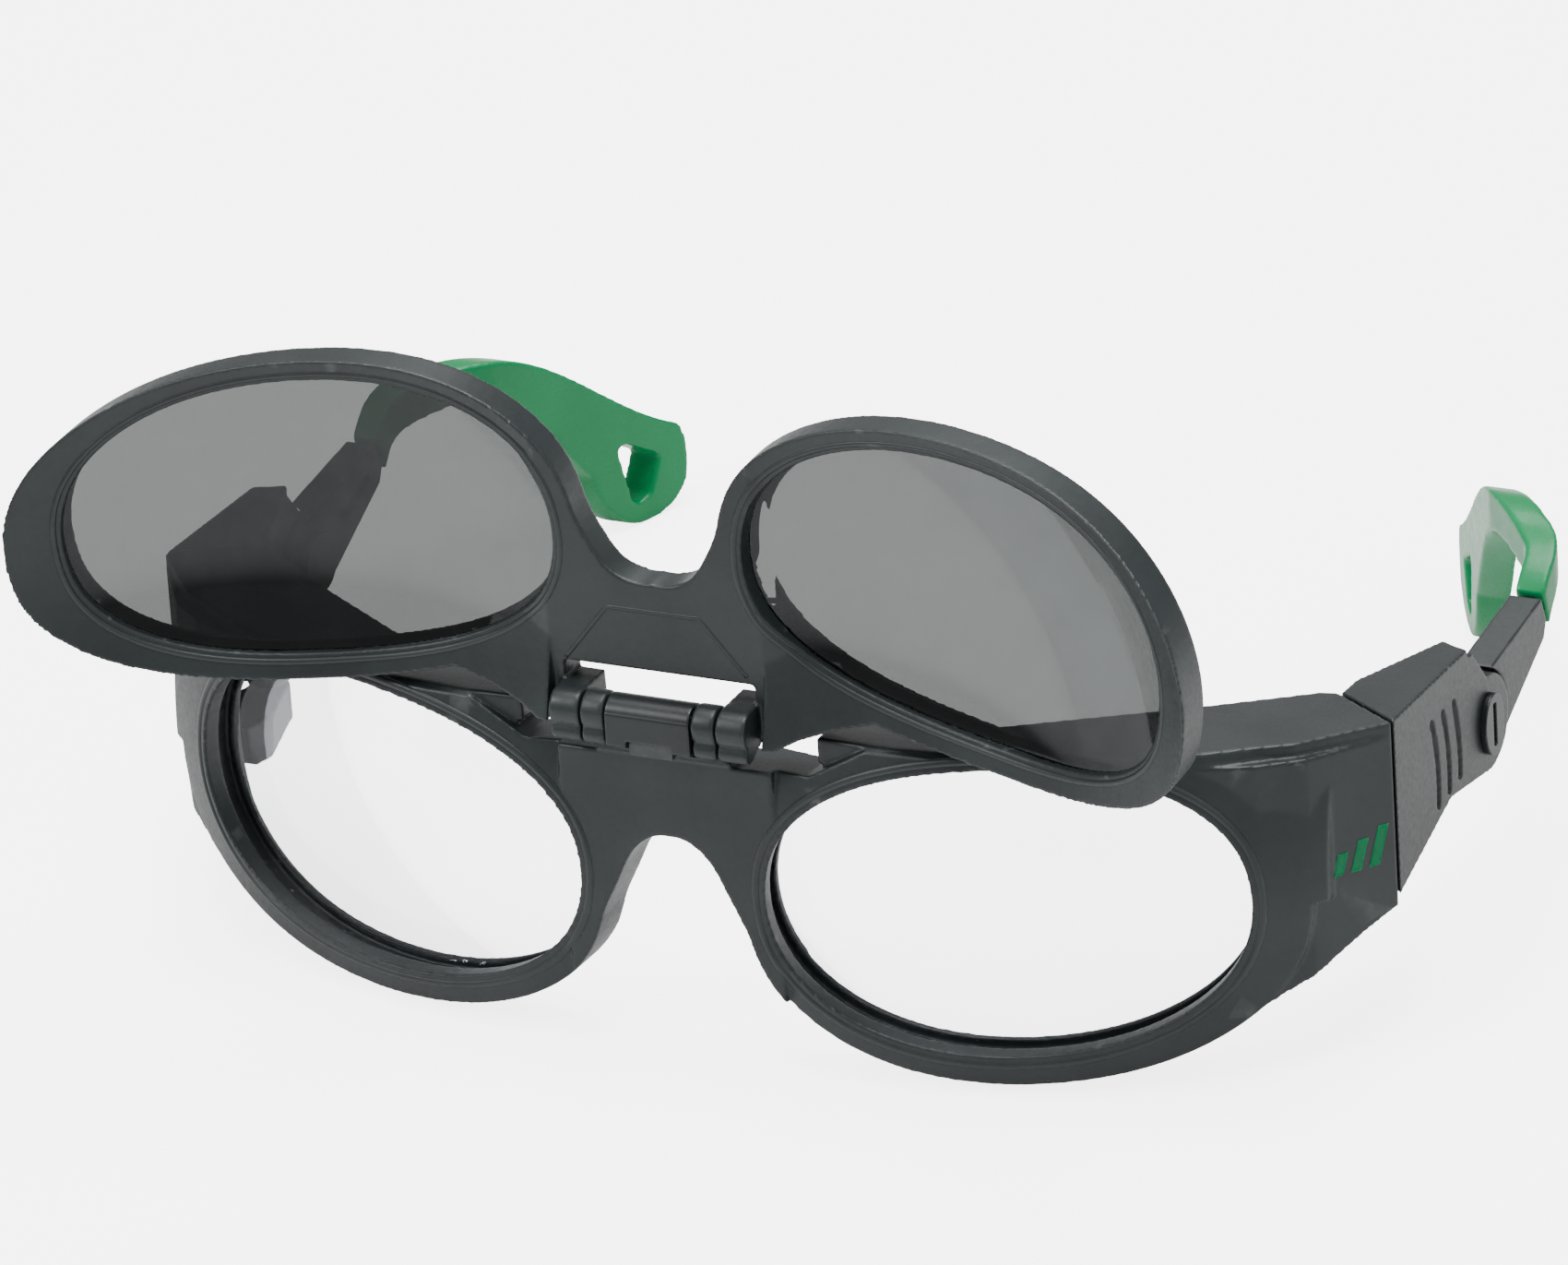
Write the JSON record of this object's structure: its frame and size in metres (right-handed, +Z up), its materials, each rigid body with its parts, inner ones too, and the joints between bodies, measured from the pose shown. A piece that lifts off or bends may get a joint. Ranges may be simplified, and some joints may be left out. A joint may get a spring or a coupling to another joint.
{
  "type": "welding goggles",
  "caption": "Flip-up welding goggles: a clear wrap-round safety frame with a hinged shaded front, folding side arms with slope and length adjustment, and soft ear tips.",
  "frame": {"origin": "centre of the footprint, on the surface that the goggles lie on", "axes": "+X wearer's left, +Y from the front back along the arms, +Z up"},
  "size_m": [0.152, 0.1124, 0.0785],
  "materials": {
    "frame_grey": "satin moulded polyamide, fine grain",
    "clear_lens": "clear polycarbonate, gloss",
    "block_grey": "satin moulded polyamide, smoother",
    "spring_steel": "spring steel",
    "fold_pin_steel": "ground stainless steel",
    "visor_grey": "satin moulded polyamide, fine grain",
    "shade_lens": "neutral grey welding shade, gloss",
    "pin_steel": "ground stainless steel",
    "temple_grey": "satin moulded polyamide, fine grain",
    "axle_grey": "moulded acetal, smooth",
    "cap_grey": "moulded acetal, smooth",
    "arm_grey": "satin moulded polyamide, fine grain",
    "slider_grey": "moulded acetal, smooth",
    "tip_green": "soft green elastomer, glossy"
  },
  "bodies": {
    "front": {"front_frame": "frame_grey", "clear_lens_left": "clear_lens", "clear_lens_right": "clear_lens", "hinge_block": "block_grey", "detent_spring": "spring_steel", "fold_pin_left": "fold_pin_steel", "fold_pin_right": "fold_pin_steel"},
    "visor": {"flip_front": "visor_grey", "shade_lens_left": "shade_lens", "shade_lens_right": "shade_lens", "flip_hinge_pin": "pin_steel"},
    "temple_left": {"temple_front_left": "temple_grey", "incline_axle_left": "axle_grey", "incline_cap_left": "cap_grey"},
    "arm_left": {"incline_arm_left": "arm_grey"},
    "tip_left": {"slider_left": "slider_grey", "ear_tip_left": "tip_green"},
    "temple_right": {"temple_front_right": "temple_grey", "incline_axle_right": "axle_grey", "incline_cap_right": "cap_grey"},
    "arm_right": {"incline_arm_right": "arm_grey"},
    "tip_right": {"slider_right": "slider_grey", "ear_tip_right": "tip_green"}
  },
  "joints": [
    {"name": "flip_up", "type": "hinge", "parent": "front", "child": "visor", "pos_m": [0, -0.04324, 0.04129], "axis": [1, 0, 0], "range_deg": [0, 176.5]},
    {"name": "fold_left", "type": "hinge", "parent": "front", "child": "temple_left", "pos_m": [0.0664, -0.01464, 0.02127], "axis": [0, 0.1847, 0.9828], "range_deg": [0, 88]},
    {"name": "incline_left", "type": "hinge", "parent": "temple_left", "child": "arm_left", "pos_m": [0.0721, 0.00546, 0.01993], "axis": [1, 0, 0], "range_deg": [-10, 10]},
    {"name": "length_left", "type": "slide", "parent": "arm_left", "child": "tip_left", "axis": [0, 0.9918, 0.1281], "range_m": [0, 0.007]},
    {"name": "fold_right", "type": "hinge", "parent": "front", "child": "temple_right", "pos_m": [-0.0664, -0.01464, 0.02127], "axis": [0, -0.1847, -0.9828], "range_deg": [0, 62]},
    {"name": "incline_right", "type": "hinge", "parent": "temple_right", "child": "arm_right", "pos_m": [-0.0721, 0.00546, 0.01993], "axis": [1, 0, 0], "range_deg": [-10, 10]},
    {"name": "length_right", "type": "slide", "parent": "arm_right", "child": "tip_right", "axis": [0, 0.9918, 0.1281], "range_m": [0, 0.007]}
  ]
}
